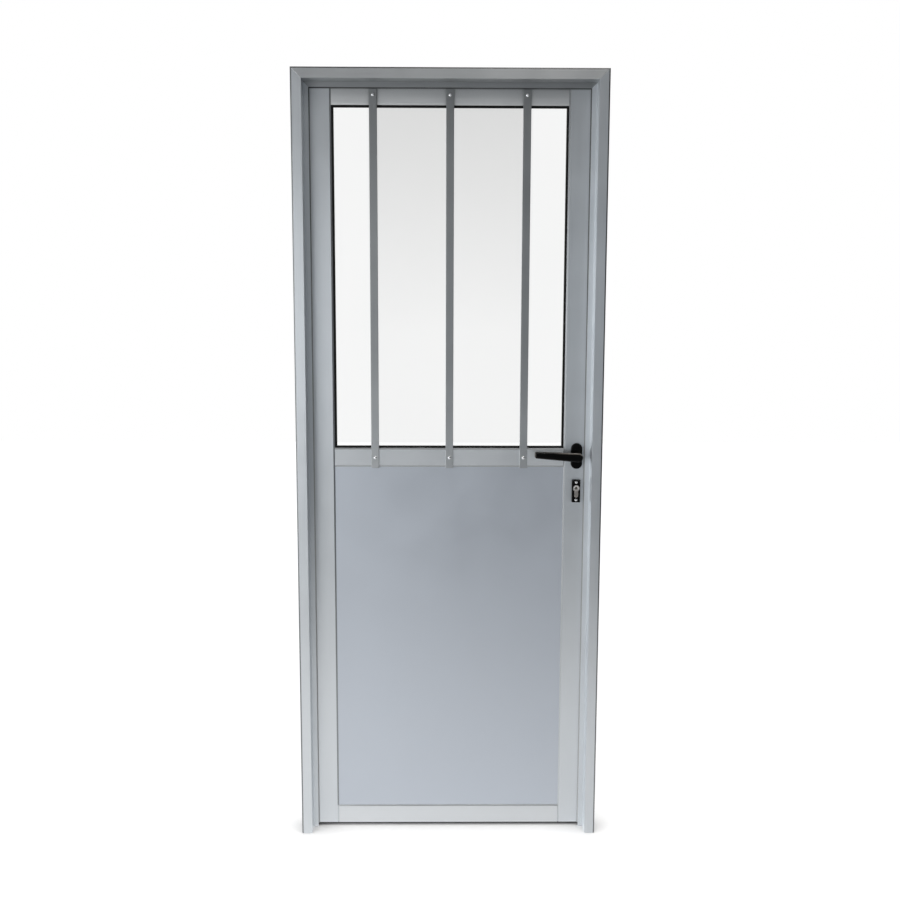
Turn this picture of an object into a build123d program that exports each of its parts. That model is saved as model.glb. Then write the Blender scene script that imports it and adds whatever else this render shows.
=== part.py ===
from build123d import *
from math import radians, sin, cos
import os

# Half-glazed aluminium door in its three-sided frame, closed.
# X runs across the door, Y through it away from the outside face, Z up.
# The origin is on the floor, at the middle of the width and of the leaf's thickness.

os.makedirs("parts", exist_ok=True)

# Frame: one hollow extrusion with a stop rib, used for both jambs and the head
frame_width = 793
frame_height = 2000
frame_depth = 80
frame_face = 27.5
frame_wall = 1.8
frame_edge_radius = 4.5
stop_width = 12.5
stop_thickness = 3
seal_space = 3
seal_width = 6
seal_edge_radius = 1.2
seal_show = 2.5
fixing_radius = 4.5
fixing_end_margin = 200
fixing_inner_spacing = 600
cleat_arm = 70
cleat_wall = 4

# Leaf: stiles, rails and the lips that hold the glass and the panel
leaf_thickness = 36
leaf_gap = 4.5
floor_gap = 9
stile_face = 64
rail_face = 50
leaf_wall = 1.6
lip_length = 14
lip_thickness = 2
lip_bevel_width = 4
lip_bevel_depth = 1.5
middle_rail_drop = 5
edge_groove_width = 22.4
edge_groove_depth = 2.7
sweep_groove_width = 6
sweep_groove_depth = 6
sweep_flap = 4
sweep_floor_gap = 2
joint_block_length = 40

# Glass, panel, gaskets and beads
glass_thickness = 6
panel_thickness = 8
pane_edge_gap = 5
front_gasket_thickness = 4
rear_gasket_thickness = 4
gasket_edge_gap = 2
front_gasket_show = 6
front_gasket_chamfer = 2.5
rear_gasket_show = 2
bead_wall = 1.4
bead_chamfer = 5

# Security bars over the glass
bar_width = 20
bar_thickness = 5
bar_spacing = 194.5
bar_top_margin = 12
bar_bottom_overhang = 2.5
bar_edge_chamfer = 0.6
bar_screw_from_top = 14

# Screws
pan_head_radius = 4.4
pan_head_height = 3
pan_head_edge = 1.2
pan_shank_radius = 2.1
pan_shank_length = 16
flat_head_radius = 4
flat_shank_radius = 2
flat_shank_length = 12
screw_clearance = 0.1

# Hinges on the back face
lower_hinge_height = 250
upper_hinge_drop = 200
hinge_height = 90
hinge_knuckle_radius = 7.5
hinge_plate_thickness = 3
hinge_pin_radius = 4
hinge_pin_grip = 0.02
hinge_pin_cap_radius = 6
hinge_pin_cap_height = 3
hinge_axis_lift = 8
hinge_frame_plate_width = 26
hinge_leaf_plate_width = 42
hinge_corner_radius = 4
hinge_running_gap = 0.4
hinge_screw_spacing = 56
bush_wall = 1.4
bush_flange = 1
bush_flange_radius = 6.8

# Lever handle
lock_backset = 30
lever_height = 1028
lever_length = 113
lever_reach = 45
lever_thickness = 12
lever_hub_radius = 12
lever_tip_height = 17
lever_tip_rise = 6.5
lever_tip_radius = 5
lever_edge_radius = 4.5
neck_radius = 10
neck_root_gap = 2
rose_width = 30
rose_height = 68
rose_thickness = 8
rose_edge_radius = 2.5
spindle_side = 8
spindle_length = 90
handle_angle = 40

# Lock cylinder and escutcheon
cylinder_drop_from_lever = 85
cylinder_radius = 8.5
cylinder_width = 10
cylinder_tail = 24.5
cylinder_length = 60
plug_radius = 6.5
keyway_width = 2.4
keyway_height = 8
keyway_depth = 20
cam_radius = 15
cam_hub_radius = 8
cam_width = 8
cam_thickness = 9.6
cam_slot = 10
cylinder_screw_drop = 20
cylinder_screw_radius = 2.4
escutcheon_width = 22
escutcheon_height = 60
escutcheon_thickness = 9
escutcheon_drop = 8
escutcheon_corner_radius = 1.5
escutcheon_edge_chamfer = 1.2
escutcheon_screw_spacing = 47
escutcheon_screw_bite = 4
escutcheon_head_radius = 3.3
escutcheon_shank_radius = 1.8
escutcheon_hole_gap = 0.3

# Lock case with its latch and dead bolt
case_thickness = 15
case_wall = 1.2
case_side_gap = 0.4
case_above_lever = 35
case_below_cylinder = 35
faceplate_width = 22
faceplate_thickness = 2.5
faceplate_overlap = 20
follower_radius = 9
follower_boss_radius = 8
follower_nose_radius = 2.5
follower_arm_thickness = 8
latch_throw = 11
latch_height = 16
latch_above_lever = 18
latch_body_length = 24
latch_hook_width = 3.5
latch_link_height = 5
latch_bevel_share = 0.75
bolt_throw = 14
bolt_height = 20
bolt_above_cylinder = 35
bolt_length = 38
bolt_head_hold = 2
bolt_tail_thickness = 5
bolt_tail_gap = 1
bolt_notch_width = 12
slider_thickness = 11.8
window_gap = 0.2
strike_thickness = 2
strike_width = 24
strike_margin = 26
strike_pocket_gap = 1.5

# Fits
turn_clearance = 0.05
slip_clearance = 0.1
seat_clearance = 0.2
seal_clearance = 0.3
overrun = 5

# Places worked out from the sizes above
frame_half = frame_width / 2
rebate_half = frame_half - frame_face
stop_half = rebate_half - stop_width
rebate_top = frame_height - frame_face
stop_top = rebate_top - stop_width
leaf_front = -leaf_thickness / 2
leaf_back = leaf_thickness / 2
frame_back = leaf_back
frame_front = frame_back - frame_depth
stop_back = leaf_front - seal_space
stop_front = stop_back - stop_thickness
leaf_half = rebate_half - leaf_gap
leaf_top = rebate_top - leaf_gap
leaf_height = leaf_top - floor_gap
bay_half = leaf_half - stile_face + lip_length
sight_half = leaf_half - stile_face
rail_tube = rail_face - lip_length
middle_tube = rail_face - 2 * lip_length
middle_rail_height = lever_height - middle_rail_drop
glass_bay = (middle_rail_height + middle_tube / 2, leaf_top - rail_tube)
panel_bay = (floor_gap + rail_tube, middle_rail_height - middle_tube / 2)
lip_back = leaf_front + lip_thickness
glass_front = lip_back + front_gasket_thickness
bead_front = glass_front + glass_thickness + rear_gasket_thickness
bead_depth = leaf_back - bead_front
panel_gasket_thickness = bead_front - lip_back - panel_thickness

bar_top = leaf_top - bar_top_margin
bar_bottom = middle_rail_height - rail_face / 2 - bar_bottom_overhang
bar_places = (-bar_spacing, 0, bar_spacing)
bar_screw_heights = (middle_rail_height, bar_top - bar_screw_from_top)

hinge_heights = (lower_hinge_height, frame_height / 2, frame_height - upper_hinge_drop)
hinge_x = -(rebate_half + leaf_half) / 2
hinge_y = leaf_back + hinge_axis_lift
knuckle_height = hinge_height / 3
bush_radius = hinge_pin_radius + turn_clearance + bush_wall

lock_x = leaf_half - lock_backset
cylinder_height = lever_height - cylinder_drop_from_lever
escutcheon_height_centre = cylinder_height - escutcheon_drop
cylinder_screw_height = cylinder_height - cylinder_screw_drop
stile_tube_inner = leaf_half - stile_face + lip_length + leaf_wall
groove_floor = leaf_half - edge_groove_depth
faceplate_front = groove_floor + faceplate_thickness
case_left = stile_tube_inner + case_side_gap
case_top = lever_height + case_above_lever
case_bottom = cylinder_height - case_below_cylinder
latch_middle = lever_height + latch_above_lever
latch_tip = faceplate_front + latch_throw
bolt_bottom = cylinder_height + bolt_above_cylinder - bolt_height / 2
bolt_middle = bolt_bottom + bolt_height / 2
half_turn = radians(handle_angle / 2)
nose_reach = latch_throw / (2 * sin(half_turn))
nose_x = lock_x + nose_reach * sin(half_turn)
nose_height = lever_height + nose_reach * cos(half_turn)
strike_low = bolt_bottom - strike_margin
strike_high = latch_middle + latch_height / 2 + strike_margin
strike_screw_heights = (strike_low + strike_margin / 2, strike_high - strike_margin / 2)
faceplate_low = case_bottom - faceplate_overlap
faceplate_high = case_top + faceplate_overlap
faceplate_screw_heights = (case_bottom - faceplate_overlap / 2, case_top + faceplate_overlap / 2)

from_corner = (Align.MIN, Align.MIN)
from_edge = (Align.MIN, Align.CENTER)
from_top = (Align.MIN, Align.MAX)
from_below = (Align.CENTER, Align.MIN)
hang_down = (Align.CENTER, Align.MAX)
stand_up = (Align.CENTER, Align.CENTER, Align.MIN)

outside_face = Plane.XZ.offset(leaf_thickness / 2)
hinge_side = Plane(origin=(-frame_half, frame_front, 0), x_dir=(1, 0, 0), z_dir=(0, 0, 1))
head_side = Plane(origin=(-frame_half, frame_front, frame_height), x_dir=(0, 0, -1), z_dir=(1, 0, 0))
left_mitre = Plane(origin=(-frame_half, 0, frame_height), z_dir=(1, 0, 1))
right_mitre = Plane(origin=(frame_half, 0, frame_height), z_dir=(-1, 0, 1))


def save(piece, name):
    piece.part.label = name
    export_step(piece.part, f"parts/{name}.step")


def frame_profile():
    Rectangle(frame_face, frame_depth, align=from_corner)
    fillet(vertices().group_by(Axis.X)[0].sort_by(Axis.Y)[0], radius=frame_edge_radius)
    with Locations((frame_wall, frame_wall)):
        cavity = (frame_face - 2 * frame_wall, frame_depth - 2 * frame_wall)
        Rectangle(*cavity, align=from_corner, mode=Mode.SUBTRACT)
    with Locations((frame_face, stop_front - frame_front)):
        Rectangle(stop_width, stop_thickness, align=from_corner)


def leaf_profile(face):
    tube = face - lip_length
    Rectangle(tube, leaf_thickness, align=from_corner)
    with Locations((leaf_wall, leaf_wall)):
        cavity = (tube - 2 * leaf_wall, leaf_thickness - 2 * leaf_wall)
        Rectangle(*cavity, align=from_corner, mode=Mode.SUBTRACT)
    Polygon(
        (tube, 0),
        (face - lip_bevel_width, 0),
        (face, lip_bevel_depth),
        (face, lip_thickness),
        (tube, lip_thickness),
    )


def edge_groove(middle, width, depth):
    with Locations((0, middle)):
        Rectangle(depth + leaf_wall, width + 2 * leaf_wall, align=from_edge)
        Rectangle(depth, width, align=from_edge, mode=Mode.SUBTRACT)


def bead_profile():
    Polygon(
        (0, 0),
        (lip_length, 0),
        (lip_length, bead_depth - bead_chamfer),
        (lip_length - bead_chamfer, bead_depth),
        (0, bead_depth),
    )
    offset(amount=-bead_wall, kind=Kind.INTERSECTION, mode=Mode.SUBTRACT)


def cylinder_profile(gap):
    with Locations((lock_x, cylinder_height)):
        Circle(cylinder_radius + gap)
        Rectangle(cylinder_width + 2 * gap, cylinder_tail - cylinder_width / 2, align=hang_down)
    with Locations((lock_x, cylinder_height - cylinder_tail + cylinder_width / 2)):
        Circle(cylinder_width / 2 + gap)


def slider_windows(gap, mode):
    for middle, height in ((latch_middle, latch_height), (bolt_middle, bolt_height)):
        with Locations((0, middle)):
            Rectangle(slider_thickness + 2 * gap, height + 2 * gap, mode=mode)


def bay_sheet(bay, edge_gap):
    with Locations((0, (bay[0] + bay[1]) / 2)):
        Rectangle(2 * (bay_half - edge_gap), bay[1] - bay[0] - 2 * edge_gap)


def bay_ring(bay, show):
    bay_sheet(bay, gasket_edge_gap)
    with Locations((0, (bay[0] + bay[1]) / 2)):
        inset = lip_length + show
        Rectangle(2 * (bay_half - inset), bay[1] - bay[0] - 2 * inset, mode=Mode.SUBTRACT)


def cope_rail(height):
    # The rail's front skin stops at the stile's lip, and its tube runs on behind it
    with BuildSketch(outside_face, mode=Mode.PRIVATE) as skin:
        with Locations((sight_half, height)):
            Rectangle(lip_length + overrun, rail_face + overrun, align=from_edge)
        mirror(about=Plane.YZ)
    extrude(skin.sketch, amount=-lip_thickness, mode=Mode.SUBTRACT)


def bar_screw_holes(plane, heights, depth):
    with BuildSketch(plane, mode=Mode.PRIVATE) as holes:
        with Locations(*[(x, height) for x in bar_places for height in heights]):
            Circle(pan_shank_radius + screw_clearance)
    extrude(holes.sketch, amount=-depth, mode=Mode.SUBTRACT)


def screw_planes_on_back(x):
    y = leaf_back + hinge_plate_thickness
    return [
        Plane(origin=(x, y, height + side * hinge_screw_spacing / 2), x_dir=(1, 0, 0), z_dir=(0, 1, 0))
        for height in hinge_heights
        for side in (-1, 1)
    ]


def screw_planes_on_edge(x, heights, facing):
    return [Plane(origin=(x, 0, height), x_dir=(0, 1, 0), z_dir=(facing, 0, 0)) for height in heights]


def cut_screw_holes(planes, depth):
    for plane in planes:
        with BuildSketch(plane, mode=Mode.PRIVATE) as hole:
            Circle(flat_shank_radius + screw_clearance)
        extrude(hole.sketch, amount=-depth, mode=Mode.SUBTRACT)


def cut_countersinks(planes, head_radius, shank_radius):
    for plane in planes:
        with Locations(plane):
            CounterSinkHole(
                shank_radius + screw_clearance,
                head_radius + screw_clearance,
                counter_sink_angle=90,
            )


def flat_screw(head_radius, shank_radius, shank_length):
    cone = head_radius - shank_radius
    with BuildPart() as screw:
        with BuildSketch(Plane.XZ):
            Polygon(
                (0, 0),
                (head_radius, 0),
                (shank_radius, -cone),
                (shank_radius, -shank_length),
                (0, -shank_length - shank_radius),
            )
        revolve(axis=Axis.Z)
    return screw.part


def pan_screw(head_radius, shank_radius, shank_length):
    with BuildPart() as screw:
        with BuildSketch(Plane.XZ):
            Polygon(
                (0, pan_head_height),
                (head_radius - pan_head_edge, pan_head_height),
                (head_radius, pan_head_height - pan_head_edge),
                (head_radius, 0),
                (shank_radius, 0),
                (shank_radius, -shank_length),
                (0, -shank_length - shank_radius),
            )
        revolve(axis=Axis.Z)
    return screw.part


def place_screws(screw, planes):
    for plane in planes:
        add(plane.location * screw)


# Screw places shared by the screws and by the holes that they pass through
hinge_frame_screw_x = -rebate_half - hinge_frame_plate_width / 2
hinge_leaf_screw_x = -leaf_half + hinge_leaf_plate_width * 2 / 3
frame_hinge_screws = screw_planes_on_back(hinge_frame_screw_x)
leaf_hinge_screws = screw_planes_on_back(hinge_leaf_screw_x)
strike_screws = screw_planes_on_edge(rebate_half - strike_thickness, strike_screw_heights, -1)
edge_screws = screw_planes_on_edge(faceplate_front, faceplate_screw_heights, 1)
fixing_heights = [
    frame_height / 2 + side * reach
    for reach in (frame_height / 2 - fixing_end_margin, fixing_inner_spacing / 2)
    for side in (-1, 1)
]

# Frame: jambs and head
with BuildPart() as hinge_jamb:
    with BuildSketch(hinge_side):
        frame_profile()
    extrude(amount=frame_height)
    split(bisect_by=left_mitre, keep=Keep.BOTTOM)
    with BuildSketch(Plane.YZ.offset(-frame_half)):
        with Locations(*[(0, height) for height in fixing_heights]):
            Circle(fixing_radius)
    extrude(amount=frame_face, mode=Mode.SUBTRACT)

with BuildPart() as strike_jamb:
    mirror(hinge_jamb.part, about=Plane.YZ)
    with BuildSketch(Plane.YZ.offset(rebate_half)):
        slider_windows(strike_pocket_gap, Mode.ADD)
    extrude(amount=frame_wall, mode=Mode.SUBTRACT)
    cut_screw_holes(strike_screws, strike_thickness + frame_wall)
save(strike_jamb, "strike_jamb")

with hinge_jamb:
    cut_screw_holes(frame_hinge_screws, hinge_plate_thickness + frame_wall)
save(hinge_jamb, "hinge_jamb")

with BuildPart() as frame_head:
    with BuildSketch(head_side):
        frame_profile()
    extrude(amount=frame_width)
    split(bisect_by=left_mitre, keep=Keep.TOP)
    split(bisect_by=right_mitre, keep=Keep.TOP)
save(frame_head, "frame_head")

# Angle cleats inside the mitred corners
cleat_thickness = frame_face - 2 * frame_wall - 2 * seat_clearance
cleat_corner = (-frame_half + frame_wall + seat_clearance, frame_height - frame_wall - seat_clearance)
cleat_depth = frame_depth - 2 * frame_wall - 2 * seat_clearance
with BuildPart() as corner_cleats:
    with BuildSketch(Plane.XZ.offset(-frame_front - frame_wall - seat_clearance)):
        with Locations(cleat_corner):
            Rectangle(cleat_arm, cleat_thickness, align=from_top)
            Rectangle(cleat_thickness, cleat_arm, align=from_top)
        with Locations((cleat_corner[0] + cleat_thickness, cleat_corner[1] - cleat_wall)):
            Rectangle(
                cleat_arm - cleat_thickness - cleat_wall,
                cleat_thickness - 2 * cleat_wall,
                align=from_top,
                mode=Mode.SUBTRACT,
            )
        with Locations((cleat_corner[0] + cleat_wall, cleat_corner[1] - cleat_thickness)):
            Rectangle(
                cleat_thickness - 2 * cleat_wall,
                cleat_arm - cleat_thickness - cleat_wall,
                align=from_top,
                mode=Mode.SUBTRACT,
            )
    extrude(amount=-cleat_depth)
    mirror(about=Plane.YZ)
save(corner_cleats, "corner_cleats")

# Rubber seals on the back of the stop, which the closed leaf presses
seal_thickness = seal_space - seal_clearance
seal_half = stop_half - seal_show
seal_top = stop_top - seal_show
with BuildPart() as hinge_side_seal:
    with BuildSketch(Plane.XY.offset(floor_gap)):
        with Locations((-seal_half, stop_back)):
            Rectangle(seal_width, seal_thickness, align=(Align.MAX, Align.MIN))
        fillet(vertices().group_by(Axis.Y)[-1], radius=seal_edge_radius)
    extrude(amount=seal_top - floor_gap)
save(hinge_side_seal, "hinge_side_seal")

with BuildPart() as strike_side_seal:
    mirror(hinge_side_seal.part, about=Plane.YZ)
save(strike_side_seal, "strike_side_seal")

with BuildPart() as head_seal:
    with BuildSketch(Plane.YZ.offset(-seal_half - seal_width)):
        with Locations((stop_back, seal_top)):
            Rectangle(seal_thickness, seal_width, align=from_corner)
        fillet(vertices().group_by(Axis.X)[-1], radius=seal_edge_radius)
    extrude(amount=2 * (seal_half + seal_width))
save(head_seal, "head_seal")

# Leaf: stiles
with BuildPart() as stile:
    with BuildSketch(Plane(origin=(-leaf_half, leaf_front, floor_gap), x_dir=(1, 0, 0), z_dir=(0, 0, 1))):
        leaf_profile(stile_face)
        edge_groove(leaf_thickness / 2, edge_groove_width, edge_groove_depth)
    extrude(amount=leaf_height)

with BuildPart() as hinge_stile:
    add(stile.part)
    cut_screw_holes(leaf_hinge_screws, hinge_plate_thickness + leaf_wall)
save(hinge_stile, "hinge_stile")

with BuildPart() as lock_stile:
    mirror(stile.part, about=Plane.YZ)
    # Openings through both faces for the lever neck and the cylinder
    with BuildSketch(outside_face):
        with Locations((lock_x, lever_height)):
            Circle(neck_radius)
        cylinder_profile(escutcheon_hole_gap)
    extrude(amount=-leaf_thickness, mode=Mode.SUBTRACT)
    with BuildSketch(outside_face):
        with Locations((lock_x, escutcheon_height_centre)):
            with GridLocations(0, escutcheon_screw_spacing, 1, 2):
                Circle(escutcheon_shank_radius + screw_clearance)
    extrude(amount=-leaf_thickness, mode=Mode.SUBTRACT)
    # Mortice in the edge for the lock case
    with BuildSketch(Plane.YZ.offset(groove_floor)):
        with Locations((0, (case_top + case_bottom) / 2)):
            Rectangle(case_thickness + 2 * seat_clearance, case_top - case_bottom + 2 * seat_clearance)
    extrude(amount=-leaf_wall, mode=Mode.SUBTRACT)
    cut_screw_holes(edge_screws, faceplate_thickness + leaf_wall)
save(lock_stile, "lock_stile")

# Leaf: rails
with BuildPart() as top_rail:
    with BuildSketch(Plane(origin=(-bay_half, leaf_front, leaf_top), x_dir=(0, 0, -1), z_dir=(1, 0, 0))):
        leaf_profile(rail_face)
    extrude(amount=2 * bay_half)
    cope_rail(leaf_top - rail_face / 2)
    bar_screw_holes(outside_face, bar_screw_heights[1:], leaf_wall)
save(top_rail, "top_rail")

with BuildPart() as middle_rail:
    with BuildSketch(Plane.YZ.offset(-bay_half)):
        with Locations((0, middle_rail_height)):
            Rectangle(leaf_thickness, middle_tube)
            Rectangle(leaf_thickness - 2 * leaf_wall, middle_tube - 2 * leaf_wall, mode=Mode.SUBTRACT)
        for side in (-1, 1):
            lip_root = middle_rail_height + side * middle_tube / 2
            lip_end = lip_root + side * lip_length
            Polygon(
                (leaf_front, lip_root),
                (leaf_front, lip_end - side * lip_bevel_width),
                (leaf_front + lip_bevel_depth, lip_end),
                (lip_back, lip_end),
                (lip_back, lip_root),
            )
    extrude(amount=2 * bay_half)
    cope_rail(middle_rail_height)
    bar_screw_holes(outside_face, bar_screw_heights[:1], leaf_wall)
save(middle_rail, "middle_rail")

with BuildPart() as bottom_rail:
    with BuildSketch(Plane(origin=(bay_half, leaf_front, floor_gap), x_dir=(0, 0, 1), z_dir=(-1, 0, 0))):
        leaf_profile(rail_face)
        edge_groove(lip_thickness + sweep_groove_width / 2, sweep_groove_width, sweep_groove_depth)
    extrude(amount=2 * bay_half)
    cope_rail(floor_gap + rail_face / 2)
save(bottom_rail, "bottom_rail")

# Blocks inside the rail ends, against the stiles
block_front = lip_back + seat_clearance
block_depth = leaf_back - leaf_wall - seat_clearance - block_front
block_y = block_front + block_depth / 2
block_x = bay_half - joint_block_length / 2
block_loss = 2 * leaf_wall + 2 * seat_clearance
bottom_block_low = floor_gap + sweep_groove_depth + leaf_wall + seat_clearance
bottom_block_high = panel_bay[0] - leaf_wall - seat_clearance
bottom_block_height = bottom_block_high - bottom_block_low
with BuildPart() as rail_joint_blocks:
    with Locations(*[(side * block_x, block_y, leaf_top - rail_tube / 2) for side in (-1, 1)]):
        Box(joint_block_length, block_depth, rail_tube - block_loss)
    with Locations(*[(side * block_x, block_y, middle_rail_height) for side in (-1, 1)]):
        Box(joint_block_length, block_depth, middle_tube - block_loss)
    with Locations(*[(side * block_x, block_y, bottom_block_low) for side in (-1, 1)]):
        Box(joint_block_length, block_depth, bottom_block_height, align=stand_up)
save(rail_joint_blocks, "rail_joint_blocks")

# Rubber sweep under the bottom rail
sweep_root_width = sweep_groove_width - 2 * slip_clearance
sweep_front = lip_back + slip_clearance
sweep_back = sweep_front + sweep_root_width
with BuildPart() as bottom_sweep:
    with BuildSketch(Plane.YZ.offset(-bay_half)):
        with Locations((sweep_front, floor_gap)):
            Rectangle(sweep_root_width, sweep_groove_depth - slip_clearance, align=from_corner)
    extrude(amount=2 * bay_half)
    with BuildSketch(Plane.YZ.offset(-leaf_half)):
        Polygon(
            (sweep_front, floor_gap),
            (sweep_back, floor_gap),
            (sweep_back + sweep_flap, sweep_floor_gap),
            (sweep_back, sweep_floor_gap),
        )
    extrude(amount=2 * leaf_half)
save(bottom_sweep, "bottom_sweep")

# Glass with its two gaskets
with BuildPart() as glass_pane:
    with BuildSketch(Plane.XZ.offset(-glass_front)):
        bay_sheet(glass_bay, pane_edge_gap)
    extrude(amount=-glass_thickness)
save(glass_pane, "glass_pane")

with BuildPart() as glass_front_gasket:
    with BuildSketch(Plane.XZ.offset(-lip_back)):
        bay_ring(glass_bay, front_gasket_show)
    extrude(amount=-front_gasket_thickness)
    chamfer(faces().sort_by(Axis.Y)[0].inner_wires().edges(), length=front_gasket_chamfer)
save(glass_front_gasket, "glass_front_gasket")

with BuildPart() as glass_rear_gasket:
    with BuildSketch(Plane.XZ.offset(-glass_front - glass_thickness)):
        bay_ring(glass_bay, rear_gasket_show)
    extrude(amount=-rear_gasket_thickness)
save(glass_rear_gasket, "glass_rear_gasket")

# Solid lower panel with its gasket behind
with BuildPart() as lower_panel:
    with BuildSketch(Plane.XZ.offset(-lip_back)):
        bay_sheet(panel_bay, pane_edge_gap)
    extrude(amount=-panel_thickness)
save(lower_panel, "lower_panel")

with BuildPart() as panel_rear_gasket:
    with BuildSketch(Plane.XZ.offset(-lip_back - panel_thickness)):
        bay_ring(panel_bay, rear_gasket_show)
    extrude(amount=-panel_gasket_thickness)
save(panel_rear_gasket, "panel_rear_gasket")

# Snap-in beads on the back: two across each bay, two upright between them
for bay_name, bay in (("glass", glass_bay), ("panel", panel_bay)):
    low, high = bay
    with BuildPart() as cross_beads:
        with BuildSketch(Plane(origin=(-bay_half, bead_front, high), x_dir=(0, 0, -1), z_dir=(1, 0, 0))):
            bead_profile()
        extrude(amount=2 * bay_half)
        mirror(about=Plane.XY.offset((low + high) / 2))
    save(cross_beads, f"{bay_name}_cross_beads")

    upright_plane = Plane(origin=(-bay_half, bead_front, low + lip_length), x_dir=(1, 0, 0), z_dir=(0, 0, 1))
    with BuildPart() as upright_beads:
        with BuildSketch(upright_plane):
            bead_profile()
        extrude(amount=high - low - 2 * lip_length)
        mirror(about=Plane.YZ)
    save(upright_beads, f"{bay_name}_upright_beads")

# Security bars, screwed to the top and middle rails
for bar_name, x in zip(("left", "middle", "right"), bar_places):
    with BuildPart() as security_bar:
        with BuildSketch(outside_face):
            with Locations((x, (bar_top + bar_bottom) / 2)):
                Rectangle(bar_width, bar_top - bar_bottom)
        extrude(amount=bar_thickness)
        chamfer(faces().sort_by(Axis.Y)[0].edges(), length=bar_edge_chamfer)
        bar_screw_holes(outside_face.offset(bar_thickness), bar_screw_heights, bar_thickness)
    save(security_bar, f"{bar_name}_security_bar")

bar_screw = pan_screw(pan_head_radius, pan_shank_radius, pan_shank_length)
bar_face = -leaf_front + bar_thickness
with BuildPart() as bar_screws:
    place_screws(bar_screw, [
        Plane(origin=(x, -bar_face, height), x_dir=(1, 0, 0), z_dir=(0, -1, 0))
        for x in bar_places
        for height in bar_screw_heights
    ])
save(bar_screws, "bar_screws")

# Hinges: the frame plate carries the middle knuckle and the pin, the leaf plate the outer two
knuckle_space = hinge_knuckle_radius + hinge_running_gap
for hinge_name, height in zip(("lower", "middle", "upper"), hinge_heights):
    low = height - hinge_height / 2
    frame_knuckle_low = low + knuckle_height
    leaf_knuckle_height = knuckle_height - bush_flange

    with BuildPart() as hinge_frame_plate:
        with BuildSketch(Plane.XZ.offset(-leaf_back)):
            with Locations((-rebate_half - hinge_frame_plate_width, low)):
                plate_width = hinge_frame_plate_width + rebate_half + hinge_x - knuckle_space
                Rectangle(plate_width, hinge_height, align=from_corner)
            fillet(vertices().group_by(Axis.X)[0], radius=hinge_corner_radius)
            with Locations((hinge_x, frame_knuckle_low)):
                Rectangle(hinge_frame_plate_width / 2, knuckle_height, align=(Align.MAX, Align.MIN))
        extrude(amount=-hinge_plate_thickness)
        with BuildSketch(Plane.XY.offset(frame_knuckle_low)):
            with Locations((hinge_x, hinge_y)):
                Circle(hinge_knuckle_radius)
        extrude(amount=knuckle_height)
        with BuildSketch(Plane.XY.offset(frame_knuckle_low)):
            with Locations((hinge_x, hinge_y)):
                Circle(hinge_pin_radius + hinge_pin_grip)
        extrude(amount=knuckle_height, mode=Mode.SUBTRACT)
        cut_countersinks(
            [plane for plane in frame_hinge_screws if low < plane.origin.Z < low + hinge_height],
            flat_head_radius,
            flat_shank_radius,
        )
    save(hinge_frame_plate, f"{hinge_name}_hinge_frame_plate")

    leaf_knuckle_lows = (low, low + 2 * knuckle_height + bush_flange)
    leaf_plate_right = -leaf_half + hinge_leaf_plate_width
    with BuildPart() as hinge_leaf_plate:
        with BuildSketch(Plane.XZ.offset(-leaf_back)):
            with Locations((leaf_plate_right, low)):
                plate_width = leaf_plate_right - hinge_x - knuckle_space
                Rectangle(plate_width, hinge_height, align=(Align.MAX, Align.MIN))
            fillet(vertices().group_by(Axis.X)[-1], radius=hinge_corner_radius)
            with Locations(*[(hinge_x, knuckle_low) for knuckle_low in leaf_knuckle_lows]):
                Rectangle(hinge_leaf_plate_width / 2, leaf_knuckle_height, align=from_corner)
        extrude(amount=-hinge_plate_thickness)
        for knuckle_low in leaf_knuckle_lows:
            with BuildSketch(Plane.XY.offset(knuckle_low)):
                with Locations((hinge_x, hinge_y)):
                    Circle(hinge_knuckle_radius)
            extrude(amount=leaf_knuckle_height)
        with BuildSketch(Plane.XY.offset(low)):
            with Locations((hinge_x, hinge_y)):
                Circle(bush_radius)
        extrude(amount=hinge_height, mode=Mode.SUBTRACT)
        cut_countersinks(
            [plane for plane in leaf_hinge_screws if low < plane.origin.Z < low + hinge_height],
            flat_head_radius,
            flat_shank_radius,
        )
    save(hinge_leaf_plate, f"{hinge_name}_hinge_leaf_plate")

pin_half = hinge_height / 2 + turn_clearance
with BuildPart() as hinge_pins:
    for height in hinge_heights:
        with BuildSketch(Plane.XY.offset(height - pin_half)):
            with Locations((hinge_x, hinge_y)):
                Circle(hinge_pin_radius)
        extrude(amount=2 * pin_half)
        for cap_low in (height - pin_half - hinge_pin_cap_height, height + pin_half):
            with BuildSketch(Plane.XY.offset(cap_low)):
                with Locations((hinge_x, hinge_y)):
                    Circle(hinge_pin_cap_radius)
            extrude(amount=hinge_pin_cap_height)
save(hinge_pins, "hinge_pins")

with BuildPart() as hinge_bushes:
    for height in hinge_heights:
        for side in (-1, 1):
            inner_end = height + side * (knuckle_height / 2 + turn_clearance)
            with BuildSketch(Plane.XY.offset(inner_end)):
                with Locations((hinge_x, hinge_y)):
                    Circle(bush_radius)
                    Circle(hinge_pin_radius + turn_clearance, mode=Mode.SUBTRACT)
            extrude(amount=side * (knuckle_height - turn_clearance))
            with BuildSketch(Plane.XY.offset(inner_end)):
                with Locations((hinge_x, hinge_y)):
                    Circle(bush_flange_radius)
                    Circle(hinge_pin_radius + turn_clearance, mode=Mode.SUBTRACT)
            extrude(amount=side * (bush_flange - turn_clearance))
save(hinge_bushes, "hinge_bushes")

plate_screw = flat_screw(flat_head_radius, flat_shank_radius, flat_shank_length)
with BuildPart() as hinge_frame_screws:
    place_screws(plate_screw, frame_hinge_screws)
save(hinge_frame_screws, "hinge_frame_screws")

with BuildPart() as hinge_leaf_screws:
    place_screws(plate_screw, leaf_hinge_screws)
save(hinge_leaf_screws, "hinge_leaf_screws")

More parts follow.
